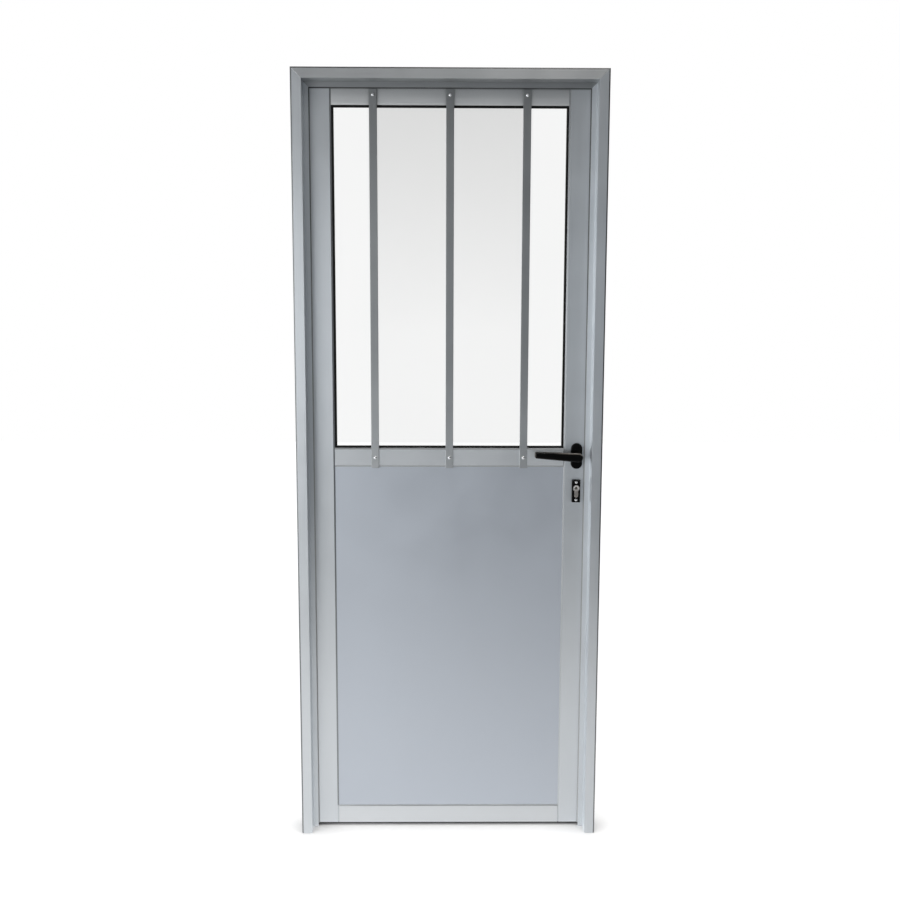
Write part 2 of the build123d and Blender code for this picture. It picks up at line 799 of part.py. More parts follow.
# Roses, levers and their spindle
with BuildPart() as outside_rose:
    with BuildSketch(outside_face):
        with Locations((lock_x, lever_height)):
            SlotOverall(rose_height, rose_width, rotation=90)
    extrude(amount=rose_thickness)
    fillet(faces().sort_by(Axis.Y)[0].edges(), radius=rose_edge_radius)
    with BuildSketch(outside_face):
        with Locations((lock_x, lever_height)):
            Circle(neck_radius + turn_clearance)
    extrude(amount=rose_thickness, mode=Mode.SUBTRACT)
save(outside_rose, "outside_rose")

with BuildPart() as inside_rose:
    mirror(outside_rose.part, about=Plane.XZ)
save(inside_rose, "inside_rose")

socket_side = spindle_side + 2 * turn_clearance
socket_depth = spindle_length / 2 + slip_clearance - leaf_thickness / 2 - neck_root_gap
with BuildPart() as outside_lever:
    with BuildSketch(outside_face.offset(lever_reach - lever_thickness)):
        with Locations((lock_x, lever_height)):
            Circle(lever_hub_radius)
        with Locations((lock_x - lever_length + lever_tip_radius, lever_height + lever_tip_rise)):
            with GridLocations(0, lever_tip_height - 2 * lever_tip_radius, 1, 2):
                Circle(lever_tip_radius)
        make_hull()
    extrude(amount=lever_thickness)
    fillet(faces().sort_by(Axis.Y)[0].edges(), radius=lever_edge_radius)
    with BuildSketch(outside_face.offset(neck_root_gap)):
        with Locations((lock_x, lever_height)):
            Circle(neck_radius)
    extrude(amount=lever_reach - lever_thickness - neck_root_gap)
    with BuildSketch(outside_face.offset(neck_root_gap)):
        with Locations((lock_x, lever_height)):
            Rectangle(socket_side, socket_side)
    extrude(amount=socket_depth, mode=Mode.SUBTRACT)
save(outside_lever, "outside_lever")

with BuildPart() as inside_lever:
    mirror(outside_lever.part, about=Plane.XZ)
save(inside_lever, "inside_lever")

with BuildPart() as spindle:
    with BuildSketch(Plane.XZ):
        with Locations((lock_x, lever_height)):
            Rectangle(spindle_side, spindle_side)
    extrude(amount=spindle_length / 2, both=True)
save(spindle, "spindle")

# Follower: the spindle turns it, and its nose draws the latch back
case_cavity = case_thickness - 2 * case_wall
with BuildPart() as follower:
    with BuildSketch(Plane.XZ):
        with Locations((lock_x, lever_height)):
            Circle(follower_radius)
    extrude(amount=case_cavity / 2 - seat_clearance, both=True)
    with BuildSketch(Plane.XZ):
        with Locations((lock_x, lever_height)):
            Circle(follower_boss_radius)
    extrude(amount=case_thickness / 2, both=True)
    with BuildSketch(Plane.XZ):
        with Locations((lock_x, lever_height), (nose_x, nose_height)):
            Circle(follower_nose_radius)
        make_hull()
    extrude(amount=follower_arm_thickness / 2, both=True)
    with BuildSketch(Plane.XZ):
        with Locations((lock_x, lever_height)):
            Rectangle(socket_side, socket_side)
    extrude(amount=case_thickness / 2, both=True, mode=Mode.SUBTRACT)
save(follower, "follower")

# Lock case, open to the faceplate, and its cover
case_middle = (case_top + case_bottom) / 2
case_height = case_top - case_bottom
with BuildPart() as lock_case:
    with BuildSketch(Plane.XZ.offset(-case_thickness / 2)):
        with Locations((case_left, case_middle)):
            Rectangle(groove_floor - case_left, case_height, align=from_edge)
    extrude(amount=case_thickness - case_wall)
    with BuildSketch(Plane.XZ.offset(-case_cavity / 2)):
        with Locations((case_left + case_wall, case_middle)):
            Rectangle(groove_floor - case_left, case_height - 2 * case_wall, align=from_edge)
    extrude(amount=case_cavity, mode=Mode.SUBTRACT)
    with BuildSketch(Plane.XZ):
        with Locations((lock_x, lever_height)):
            Circle(follower_boss_radius + turn_clearance)
        cylinder_profile(seat_clearance)
    extrude(amount=-case_thickness, mode=Mode.SUBTRACT)
save(lock_case, "lock_case")

with BuildPart() as lock_cover:
    with BuildSketch(Plane.XZ.offset(case_cavity / 2)):
        with Locations((case_left, case_middle)):
            Rectangle(groove_floor - case_left, case_height, align=from_edge)
        with Locations((lock_x, lever_height)):
            Circle(follower_boss_radius + turn_clearance, mode=Mode.SUBTRACT)
    extrude(amount=case_wall)
    with BuildSketch(Plane.XZ.offset(case_cavity / 2)):
        cylinder_profile(seat_clearance)
    extrude(amount=case_wall, mode=Mode.SUBTRACT)
save(lock_cover, "lock_cover")

cylinder_screw_planes = screw_planes_on_edge(faceplate_front, [cylinder_screw_height], 1)
with BuildPart() as lock_faceplate:
    with BuildSketch(Plane.YZ.offset(groove_floor)):
        with Locations((0, (faceplate_low + faceplate_high) / 2)):
            Rectangle(faceplate_width, faceplate_high - faceplate_low)
        slider_windows(window_gap, Mode.SUBTRACT)
    extrude(amount=faceplate_thickness)
    cut_countersinks(edge_screws, flat_head_radius, flat_shank_radius)
    cut_countersinks(cylinder_screw_planes, flat_head_radius, cylinder_screw_radius)
save(lock_faceplate, "lock_faceplate")

with BuildPart() as faceplate_screws:
    place_screws(plate_screw, edge_screws)
save(faceplate_screws, "faceplate_screws")

# Latch: a bevelled head, a link over the follower's nose and a hook behind it
hook_right = nose_x - follower_nose_radius - seal_clearance
latch_root = latch_tip - latch_body_length
link_top = latch_middle + latch_height / 2 - slip_clearance
with BuildPart() as latch_bolt:
    with BuildSketch(Plane.XZ):
        with Locations((latch_root, latch_middle)):
            Rectangle(latch_body_length, latch_height, align=from_edge)
    extrude(amount=slider_thickness / 2, both=True)
    with BuildSketch(Plane.XY.offset(latch_middle - latch_height / 2)):
        Polygon(
            (latch_tip, slider_thickness * (latch_bevel_share - 1 / 2)),
            (faceplate_front, -slider_thickness / 2),
            (latch_tip, -slider_thickness / 2),
        )
    extrude(amount=latch_height, mode=Mode.SUBTRACT)
    with BuildSketch(Plane.XZ):
        with Locations((hook_right - latch_hook_width, link_top)):
            Rectangle(latch_root - hook_right + latch_hook_width, latch_link_height, align=from_top)
            Rectangle(latch_hook_width, link_top - nose_height, align=from_top)
    extrude(amount=follower_arm_thickness / 2, both=True)
save(latch_bolt, "latch_bolt")

# Dead bolt: its notched tail hangs just above the cam's sweep
bolt_root = faceplate_front - bolt_length
bolt_top = bolt_bottom + bolt_height
bolt_tail_low = cylinder_height + cam_radius + bolt_tail_gap
bolt_head_length = bolt_throw + faceplate_thickness + bolt_head_hold
bolt_head_root = faceplate_front - bolt_head_length
with BuildPart() as dead_bolt:
    with BuildSketch(Plane.XZ):
        with Locations((bolt_head_root, bolt_middle)):
            Rectangle(bolt_head_length, bolt_height, align=from_edge)
    extrude(amount=slider_thickness / 2, both=True)
    with BuildSketch(Plane.XZ):
        with Locations((bolt_root, bolt_top)):
            Rectangle(bolt_head_root - bolt_root, bolt_top - bolt_tail_low, align=from_top)
        with Locations(((bolt_root + bolt_head_root) / 2, bolt_tail_low)):
            notch_height = bolt_bottom - bolt_tail_low
            Rectangle(bolt_notch_width, notch_height, align=from_below, mode=Mode.SUBTRACT)
    extrude(amount=bolt_tail_thickness / 2, both=True)
save(dead_bolt, "dead_bolt")

# Lock cylinder with its plugs and cam
with BuildPart() as cylinder_body:
    with BuildSketch(Plane.XZ):
        cylinder_profile(0)
    extrude(amount=cylinder_length / 2, both=True)
    with BuildSketch(Plane.XZ):
        with Locations((lock_x, cylinder_height)):
            Circle(plug_radius + turn_clearance)
    extrude(amount=cylinder_length / 2, both=True, mode=Mode.SUBTRACT)
    with BuildSketch(Plane.XZ):
        with Locations((lock_x, cylinder_height - cam_radius - window_gap)):
            Rectangle(2 * cylinder_radius, 2 * cam_radius, align=from_below)
    extrude(amount=cam_slot / 2, both=True, mode=Mode.SUBTRACT)
    with BuildSketch(Plane.YZ.offset(lock_x)):
        with Locations((0, cylinder_screw_height)):
            Circle(cylinder_screw_radius + screw_clearance)
    extrude(amount=cylinder_width, both=True, mode=Mode.SUBTRACT)
save(cylinder_body, "cylinder_body")

with BuildPart() as outer_plug:
    with BuildSketch(Plane.XZ.offset(cam_thickness / 2)):
        with Locations((lock_x, cylinder_height)):
            Circle(plug_radius)
    extrude(amount=(cylinder_length - cam_thickness) / 2)
    with BuildSketch(Plane.XZ.offset(cylinder_length / 2)):
        with Locations((lock_x, cylinder_height)):
            Rectangle(keyway_width, keyway_height)
    extrude(amount=-keyway_depth, mode=Mode.SUBTRACT)
save(outer_plug, "outer_plug")

with BuildPart() as inner_plug:
    with BuildSketch(Plane.XZ.offset(-cam_slot / 2)):
        with Locations((lock_x, cylinder_height)):
            Circle(plug_radius)
    extrude(amount=-(cylinder_length - cam_slot) / 2)
    with BuildSketch(Plane.XZ.offset(-cylinder_length / 2)):
        with Locations((lock_x, cylinder_height)):
            Rectangle(keyway_width, keyway_height)
    extrude(amount=keyway_depth, mode=Mode.SUBTRACT)
save(inner_plug, "inner_plug")

with BuildPart() as cylinder_cam:
    with BuildSketch(Plane.XZ):
        with Locations((lock_x, cylinder_height)):
            Circle(cam_hub_radius)
            Rectangle(cam_width, cam_radius - cam_width / 2, align=hang_down)
        with Locations((lock_x, cylinder_height - cam_radius + cam_width / 2)):
            Circle(cam_width / 2)
    extrude(amount=cam_thickness / 2, both=True)
save(cylinder_cam, "cylinder_cam")

cylinder_screw_part = flat_screw(flat_head_radius, cylinder_screw_radius, faceplate_front - lock_x)
with BuildPart() as cylinder_screw:
    place_screws(cylinder_screw_part, cylinder_screw_planes)
save(cylinder_screw, "cylinder_screw")

# Escutcheons round the cylinder, each held by two short screws
escutcheon_screw_planes = [
    Plane(
        origin=(lock_x, leaf_front - escutcheon_thickness, escutcheon_height_centre + step),
        x_dir=(1, 0, 0),
        z_dir=(0, -1, 0),
    )
    for step in (-escutcheon_screw_spacing / 2, escutcheon_screw_spacing / 2)
]
with BuildPart() as outside_escutcheon:
    with BuildSketch(outside_face):
        with Locations((lock_x, escutcheon_height_centre)):
            RectangleRounded(escutcheon_width, escutcheon_height, escutcheon_corner_radius)
    extrude(amount=escutcheon_thickness)
    chamfer(faces().sort_by(Axis.Y)[0].edges(), length=escutcheon_edge_chamfer)
    with BuildSketch(outside_face):
        cylinder_profile(escutcheon_hole_gap)
    extrude(amount=escutcheon_thickness, mode=Mode.SUBTRACT)
    cut_countersinks(escutcheon_screw_planes, escutcheon_head_radius, escutcheon_shank_radius)
save(outside_escutcheon, "outside_escutcheon")

with BuildPart() as inside_escutcheon:
    mirror(outside_escutcheon.part, about=Plane.XZ)
save(inside_escutcheon, "inside_escutcheon")

escutcheon_screw_length = escutcheon_thickness + leaf_wall + escutcheon_screw_bite
escutcheon_screw = flat_screw(escutcheon_head_radius, escutcheon_shank_radius, escutcheon_screw_length)
with BuildPart() as escutcheon_screws:
    place_screws(escutcheon_screw, escutcheon_screw_planes)
    mirror(about=Plane.XZ)
save(escutcheon_screws, "escutcheon_screws")

# Strike plate on the rebate wall of the strike jamb
with BuildPart() as strike_plate:
    with BuildSketch(Plane.YZ.offset(rebate_half - strike_thickness)):
        with Locations((0, (strike_low + strike_high) / 2)):
            Rectangle(strike_width, strike_high - strike_low)
        slider_windows(strike_pocket_gap, Mode.SUBTRACT)
    extrude(amount=strike_thickness)
    cut_countersinks(strike_screws, flat_head_radius, flat_shank_radius)
save(strike_plate, "strike_plate")

with BuildPart() as strike_plate_screws:
    place_screws(plate_screw, strike_screws)
save(strike_plate_screws, "strike_plate_screws")
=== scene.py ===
import math
import bmesh
import bpy
from mathutils import Euler, Matrix, Vector


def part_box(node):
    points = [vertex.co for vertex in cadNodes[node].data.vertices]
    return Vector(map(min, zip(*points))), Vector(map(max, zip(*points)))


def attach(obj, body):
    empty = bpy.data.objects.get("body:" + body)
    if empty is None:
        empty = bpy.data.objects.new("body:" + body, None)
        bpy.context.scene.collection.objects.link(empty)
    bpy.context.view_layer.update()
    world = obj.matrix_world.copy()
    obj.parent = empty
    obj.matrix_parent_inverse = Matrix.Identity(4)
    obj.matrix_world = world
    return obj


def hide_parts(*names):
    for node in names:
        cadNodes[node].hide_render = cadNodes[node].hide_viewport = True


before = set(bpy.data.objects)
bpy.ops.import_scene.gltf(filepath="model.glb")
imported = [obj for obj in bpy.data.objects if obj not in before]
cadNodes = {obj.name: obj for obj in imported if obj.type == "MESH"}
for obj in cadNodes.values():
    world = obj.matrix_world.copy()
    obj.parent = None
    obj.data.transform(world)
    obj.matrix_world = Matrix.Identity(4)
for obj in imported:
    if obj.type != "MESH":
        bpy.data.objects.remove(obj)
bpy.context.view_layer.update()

mm = 0.001


# Small helpers for shader trees

def newTree(name):
    material = bpy.data.materials.new(name)
    material.use_nodes = True
    tree = material.node_tree
    tree.nodes.clear()
    output = tree.nodes.new("ShaderNodeOutputMaterial")
    shader = tree.nodes.new("ShaderNodeBsdfPrincipled")
    tree.links.new(shader.outputs["BSDF"], output.inputs["Surface"])
    return material, tree, shader


def addNode(tree, kind, inputs=None, **settings):
    node = tree.nodes.new(kind)
    for name, value in settings.items():
        setattr(node, name, value)
    for name, value in (inputs or {}).items():
        if isinstance(value, bpy.types.NodeSocket):
            tree.links.new(value, node.inputs[name])
        else:
            node.inputs[name].default_value = value
    return node


def combine(tree, operation, *values):
    return addNode(tree, "ShaderNodeMath", dict(enumerate(values)), operation=operation).outputs[0]


def combineVectors(tree, operation, output, *values):
    return addNode(tree, "ShaderNodeVectorMath", dict(enumerate(values)), operation=operation).outputs[output]


def partsOf(tree, vector):
    return addNode(tree, "ShaderNodeSeparateXYZ", {"Vector": vector}).outputs


def ownPlace(tree):
    # a point's place in metres of the piece itself
    return addNode(tree, "ShaderNodeTexCoord").outputs["Object"]


def ownNormal(tree):
    return addNode(tree, "ShaderNodeTexCoord").outputs["Normal"]


def heightOf(tree):
    return partsOf(tree, ownPlace(tree))["Z"]


def stretchedNoise(tree, scale, detail):
    # noise drawn out along the axis with the smallest scale
    mapping = addNode(tree, "ShaderNodeMapping", {"Vector": ownPlace(tree), "Scale": scale})
    inputs = {"Vector": mapping.outputs["Vector"], "Scale": 1.0, "Detail": detail}
    return addNode(tree, "ShaderNodeTexNoise", inputs).outputs["Fac"]


def spread(tree, value, low, high, fromLow=0.3, fromHigh=0.7):
    # from one span to another; most noise lies in the span given here
    inputs = {"Value": value, "From Min": fromLow, "From Max": fromHigh, "To Min": low, "To Max": high}
    return addNode(tree, "ShaderNodeMapRange", inputs).outputs["Result"]


def acrossLines(tree, axis):
    # the direction in the surface that crosses the drawn lines, in which they spread a highlight
    spaces = {"convert_from": "OBJECT", "convert_to": "WORLD"}
    along = addNode(tree, "ShaderNodeVectorTransform", {"Vector": axis}, **spaces).outputs["Vector"]
    normal = addNode(tree, "ShaderNodeNewGeometry").outputs["Normal"]
    return combineVectors(tree, "CROSS_PRODUCT", "Vector", normal, along)


def mixValues(tree, factor, first, second):
    return addNode(tree, "ShaderNodeMix", {0: factor, 2: first, 3: second}, data_type="FLOAT").outputs[0]


def rgba(colour):
    return colour if isinstance(colour, bpy.types.NodeSocket) else (*colour, 1.0)


def twoTone(tree, factor, first, second):
    inputs = {0: factor, 6: rgba(first), 7: rgba(second)}
    return addNode(tree, "ShaderNodeMix", inputs, data_type="RGBA").outputs[2]


def shade(colour, factor):
    return tuple(channel * factor for channel in colour)


def dimmed(tree, colour, factor):
    return addNode(tree, "ShaderNodeVectorMath", {0: colour, "Scale": factor}, operation="SCALE").outputs[0]


# Parts of a surface that are darker or brighter than the rest, fitted to the photo's light and shade

fineSettings = {
    "lineDetail": 3.0, "grainDetail": 2.0, "toneSpan": (0.7, 1.3), "bumpDistance": 0.1 * mm, "edgeSamples": 6,
    "cornerSamples": 8, "cornerSpan": (0.35, 0.95), "flatSpan": (0.990, 0.999), "slopeTolerance": 0.1,
    "lipFootShare": 0.2, "facingSpan": (0.3, 0.6),
}


def paintedCornerShade(tree, look):
    # painted shade: corners under and beside what stands proud are darkened in the colour
    settings = {"samples": fineSettings["cornerSamples"]}
    corner = addNode(tree, "ShaderNodeAmbientOcclusion", {"Distance": look["recessReach"]}, **settings)
    return spread(tree, corner.outputs["AO"], look["recessShade"], 1.0, *fineSettings["cornerSpan"])


def paintedEdgeShade(tree, look):
    # painted shade: the frame's rounded outer edge is darker than its faces
    surface = addNode(tree, "ShaderNodeNewGeometry").outputs
    normal = partsOf(tree, surface["Normal"])
    side = combine(tree, "SIGN", partsOf(tree, surface["Position"])["X"])
    across = combine(tree, "MULTIPLY", side, normal["X"])
    out = combine(tree, "MAXIMUM", across, normal["Z"])
    edge = spread(tree, out, 1.0, look["outerShade"], *look["outerSpan"])
    flat = spread(tree, out, 0.0, 1.0, *fineSettings["flatSpan"])
    return combine(tree, "MAXIMUM", edge, flat)


def paintedLipShade(tree, look):
    # painted shade: the narrow slope that holds glass or panel is darker than the face beside it, and less so
    # low down
    facing = combineVectors(tree, "DOT_PRODUCT", "Value", ownNormal(tree), look["lipFacing"])
    facing = combine(tree, "ABSOLUTE", facing)
    slope = combine(tree, "COMPARE", facing, look["lipSlope"], fineSettings["slopeTolerance"])
    above = spread(tree, heightOf(tree), fineSettings["lipFootShare"], 1.0, *look["lipFoot"])
    slope = combine(tree, "MULTIPLY", slope, above)
    return spread(tree, slope, 1.0, look["lipShade"], 0.0, 1.0)


def paintedLowLight(tree, look):
    # painted light: brighter towards the floor, all round or on the sides that face one way
    gain = spread(tree, heightOf(tree), look["lowGain"], 1.0, *look["lowSpan"])
    if "lowFacing" not in look:
        return gain
    facing = combineVectors(tree, "DOT_PRODUCT", "Value", ownNormal(tree), look["lowFacing"])
    facing = spread(tree, facing, 0.0, 1.0, *fineSettings["facingSpan"])
    return mixValues(tree, facing, 1.0, gain)


def aroundPlug(tree, look):
    # 0 in the plug's core and 1 round it, then 0 down the cylinder's stem and 1 above it
    low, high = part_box("outer_plug")
    middle = (low + high) / 2.0
    offset = combineVectors(tree, "SUBTRACT", "Vector", ownPlace(tree), middle)
    flat = combineVectors(tree, "MULTIPLY", "Vector", offset, (1.0, 0.0, 1.0))
    radius = combineVectors(tree, "LENGTH", "Value", flat)
    ring = spread(tree, radius, 0.0, 1.0, *look["coreSpan"])
    return ring, spread(tree, partsOf(tree, offset)["Z"], 0.0, 1.0, *look["stemSpan"])


def paintedHighlight(tree, look):
    # painted highlight: lighter on the upper rounding beside the hub, and at the tip
    normal = partsOf(tree, ownNormal(tree))
    upper = spread(tree, normal["Z"], 0.0, 1.0, *look["glintRise"])
    under = spread(tree, normal["Z"], 1.0, 0.0, *look["glintCrown"])
    upper = combine(tree, "MULTIPLY", upper, under)
    near = spread(tree, partsOf(tree, ownPlace(tree))["X"], 0.0, 1.0, *look["glintSpan"])
    near = combine(tree, "MULTIPLY", near, upper)
    tip = spread(tree, normal["X"], 0.0, look["tipShare"], *look["tipSpan"])
    return combine(tree, "MAXIMUM", near, tip)


# Finishes

partShades = {"recessShade": paintedCornerShade, "outerShade": paintedEdgeShade, "lipShade": paintedLipShade, "lowGain": paintedLowLight}


def roughen(tree, shader, look, tone, *span):
    low, high = look["roughness"] - look["roughSpread"], look["roughness"] + look["roughSpread"]
    tree.links.new(spread(tree, tone, low, high, *span), shader.inputs["Roughness"])


def softEdges(tree, shader, look, relief, depth):
    # edges catch light as if slightly rounded, over a fine relief
    edge = addNode(tree, "ShaderNodeBevel", {"Radius": look["edge"]}, samples=fineSettings["edgeSamples"])
    bump = {"Height": relief, "Normal": edge.outputs["Normal"], "Strength": depth}
    bump["Distance"] = fineSettings["bumpDistance"]
    tree.links.new(addNode(tree, "ShaderNodeBump", bump).outputs["Normal"], shader.inputs["Normal"])


def satinMetal(name, look):
    # drawn or brushed metal: fine lines along one axis, a faint cloudiness and softly broken edges
    material, tree, shader = newTree(name)
    toneSpan = fineSettings["toneSpan"]
    lines = stretchedNoise(tree, look["lineScale"], fineSettings["lineDetail"])
    clouds = stretchedNoise(tree, (look["cloudScale"],) * 3, fineSettings["lineDetail"])
    tone = combine(tree, "ADD", lines, clouds)
    darkColour = shade(look["colour"], 1.0 - look["contrast"])
    colour = twoTone(tree, spread(tree, tone, 0.0, 1.0, *toneSpan), darkColour, look["colour"])
    if "coreColour" in look:
        ring, upper = aroundPlug(tree, look)
        colour = twoTone(tree, ring, look["coreColour"], look["colour"])
        # painted reflection: the cylinder's stem below the plug is darker and browner
        colour = twoTone(tree, upper, look["stemReflectionColour"], colour)
    # painted light and shade from the look are laid over the base colour
    for key, shadeOf in partShades.items():
        if key in look:
            colour = dimmed(tree, colour, shadeOf(tree, look))
    tree.links.new(colour, shader.inputs["Base Color"])
    roughen(tree, shader, look, tone, *toneSpan)
    shader.inputs["Metallic"].default_value = look["metallic"]
    shader.inputs["Anisotropic"].default_value = look["drawn"]
    tree.links.new(acrossLines(tree, look["lineAxis"]), shader.inputs["Tangent"])
    softEdges(tree, shader, look, lines, look["lineDepth"])
    return material


def mouldedBlack(name, look):
    # rubber, plastic or paint: a fine even grain under a dull or waxy surface
    material, tree, shader = newTree(name)
    grain = stretchedNoise(tree, (look["grainScale"],) * 3, fineSettings["grainDetail"])
    clouds = stretchedNoise(tree, (look["cloudScale"],) * 3, fineSettings["grainDetail"])
    colour = twoTone(tree, spread(tree, clouds, 0.0, 1.0), look["colour"], look["cloudColour"])
    # painted highlight
    if "paintedGlintColour" in look:
        colour = twoTone(tree, paintedHighlight(tree, look), colour, look["paintedGlintColour"])
    # painted light: lighter towards the floor
    if "lowLightColour" in look:
        low = spread(tree, heightOf(tree), 1.0, 0.0, *look["lowColourSpan"])
        colour = twoTone(tree, low, colour, look["lowLightColour"])
    tree.links.new(colour, shader.inputs["Base Color"])
    roughen(tree, shader, look, grain)
    shader.inputs["Specular IOR Level"].default_value = look["specular"]
    softEdges(tree, shader, look, grain, look["grainDepth"])
    return material


def clearGlass(name, look):
    # a clear pane with a thin uneven film, and painted shade that darkens its tint high up between the outer
    # bars
    material, tree, shader = newTree(name)
    film = stretchedNoise(tree, (look["filmScale"],) * 3, fineSettings["lineDetail"])
    tree.links.new(spread(tree, film, 0.0, look["filmRoughness"]), shader.inputs["Roughness"])
    place = partsOf(tree, ownPlace(tree))
    middle = spread(tree, combine(tree, "ABSOLUTE", place["X"]), 1.0, 0.0, *look["shadeAside"])
    upper = spread(tree, place["Z"], look["shadeLow"], look["shadeHigh"], *look["shadeSpan"])
    glassShade = spread(tree, combine(tree, "MULTIPLY", middle, upper), 1.0, 0.0, 0.0, 1.0)
    filmTint = shade(look["tint"], look["filmShade"])
    colour = twoTone(tree, spread(tree, film, 0.0, 1.0), filmTint, look["tint"])
    tree.links.new(dimmed(tree, colour, glassShade), shader.inputs["Base Color"])
    shader.inputs["Transmission Weight"].default_value = 1.0
    shader.inputs["IOR"].default_value = look["ior"]
    return material


anodisedLook = {
    "colour": (0.71, 0.742, 0.770), "contrast": 0.04, "metallic": 1.0, "roughness": 0.40, "roughSpread": 0.05,
    "lineDepth": 0.10, "cloudScale": 9.0, "edge": 0.5 * mm, "drawn": 0.55,
}
uprightLines = {"lineScale": (1400.0, 1400.0, 3.0), "lineAxis": (0.0, 0.0, 1.0)}
crossLines = {"lineScale": (3.0, 1400.0, 1400.0), "lineAxis": (1.0, 0.0, 0.0)}
uprightAluminium = satinMetal("uprightAluminium", {**anodisedLook, **uprightLines})
crossAluminium = satinMetal("crossAluminium", {**anodisedLook, **crossLines})

# painted shade: the frame's rounded outer edge is darkened
frameLook = {**anodisedLook, "outerShade": 0.30, "outerSpan": (0.03, 0.25)}
hingeJambAluminium = satinMetal("hingeJambAluminium", {**frameLook, **uprightLines})
# painted light: the strike jamb's faces that turn to the hinge side brighten towards the floor
strikeJambLook = {
    **frameLook, **uprightLines, "lowGain": 1.32, "lowSpan": (0.0, 0.9), "lowFacing": (-1.0, 0.0, 0.0),
}
strikeJambAluminium = satinMetal("strikeJambAluminium", strikeJambLook)
# painted shade: the head is a darker copy of the anodised finish, darker still in its corners
headLook = {
    **frameLook, **crossLines, "colour": (0.485, 0.50, 0.51), "outerShade": 0.15,
    "recessShade": 0.80, "recessReach": 40.0 * mm,
}
headAluminium = satinMetal("headAluminium", headLook)

# painted shade: the lips' slopes are darkened, less so near the foot
lipLook = {**anodisedLook, "lipSlope": 0.351, "lipShade": 0.45, "lipFoot": (56.0 * mm, 60.0 * mm)}
stileLook = {**lipLook, **uprightLines, "lipFacing": (1.0, 0.0, 0.0)}
hingeStileAluminium = satinMetal("hingeStileAluminium", stileLook)
lockStileLook = {**stileLook, "lipFoot": (60.0 * mm, 900.0 * mm)}
lockStileAluminium = satinMetal("lockStileAluminium", lockStileLook)
# painted light and shade: the top rail is a brighter copy of the anodised finish, darkened in the corners
# under the head and beside the bars
topRailLook = {
    **anodisedLook, **crossLines, "colour": (0.83, 0.845, 0.85),
    "recessShade": 0.40, "recessReach": 40.0 * mm,
}
topRailAluminium = satinMetal("topRailAluminium", topRailLook)
# painted light and shade: the middle rail is a brighter copy of the anodised finish, its lip slopes darkened
middleRailLook = {**lipLook, **crossLines, "colour": (0.86, 0.895, 0.925), "lipFacing": (0.0, 0.0, 1.0)}
middleRailAluminium = satinMetal("middleRailAluminium", middleRailLook)
# painted light: the bottom rail is a brighter copy of the anodised finish
bottomRailLook = {**anodisedLook, **crossLines, "colour": (0.79, 0.815, 0.835)}
bottomRailAluminium = satinMetal("bottomRailAluminium", bottomRailLook)

panelLook = {
    **anodisedLook, **uprightLines, "colour": (0.61, 0.652, 0.712), "contrast": 0.02, "roughness": 0.48,
    "lineDepth": 0.06, "lineScale": (420.0, 420.0, 420.0), "drawn": 0.2,
}
panelAluminium = satinMetal("panelAluminium", panelLook)
# painted light: the bars brighten towards their lower ends
barLook = {
    **anodisedLook, **uprightLines, "colour": (0.35, 0.362, 0.37), "roughness": 0.42, "lineDepth": 0.2,
    "lowGain": 1.45, "lowSpan": (1.02, 1.30),
}
barAluminium = satinMetal("barAluminium", barLook)
castLook = {
    **anodisedLook, **uprightLines, "colour": (0.52, 0.53, 0.54), "roughness": 0.55, "lineDepth": 0.35,
    "lineScale": (700.0, 700.0, 700.0), "drawn": 0.0,
}
castAluminium = satinMetal("castAluminium", castLook)
hingeLook = {
    **anodisedLook, **uprightLines, "colour": (0.62, 0.64, 0.66), "roughness": 0.36,
    "lineScale": (900.0, 900.0, 30.0),
}
hingeAluminium = satinMetal("hingeAluminium", hingeLook)

zincLook = {
    **anodisedLook, **uprightLines, "colour": (0.93, 0.94, 0.95), "roughness": 0.20, "cloudScale": 180.0,
    "lineScale": (900.0, 900.0, 900.0), "drawn": 0.0, "edge": 0.2 * mm,
}
brightZinc = satinMetal("brightZinc", zincLook)
# painted reflection: the cylinder's stem below the plug is darker and browner than its rim
nickelLook = {
    **anodisedLook, **uprightLines, "colour": (0.92, 0.90, 0.87), "roughness": 0.26, "cloudScale": 120.0,
    "lineScale": (1500.0, 60.0, 1500.0), "drawn": 0.0, "edge": 0.25 * mm,
    "coreColour": (0.30, 0.27, 0.245), "coreSpan": (3.6 * mm, 4.3 * mm),
    "stemReflectionColour": (0.62, 0.57, 0.53), "stemSpan": (-6.5 * mm, -3.5 * mm),
}
satinNickel = satinMetal("satinNickel", nickelLook)
steelLook = {
    **anodisedLook, **uprightLines, "colour": (0.55, 0.56, 0.57), "roughness": 0.38, "cloudScale": 60.0,
    "lineScale": (900.0, 900.0, 40.0), "drawn": 0.3, "edge": 0.3 * mm,
}
lockSteel = satinMetal("lockSteel", steelLook)

rubberLook = {
    "colour": (0.002, 0.002, 0.002), "cloudColour": (0.004, 0.004, 0.004),
    "roughness": 0.55, "roughSpread": 0.08,
    "specular": 0.2, "grainScale": 1800.0, "grainDepth": 0.25, "cloudScale": 60.0, "edge": 0.3 * mm,
}
blackRubber = mouldedBlack("blackRubber", rubberLook)
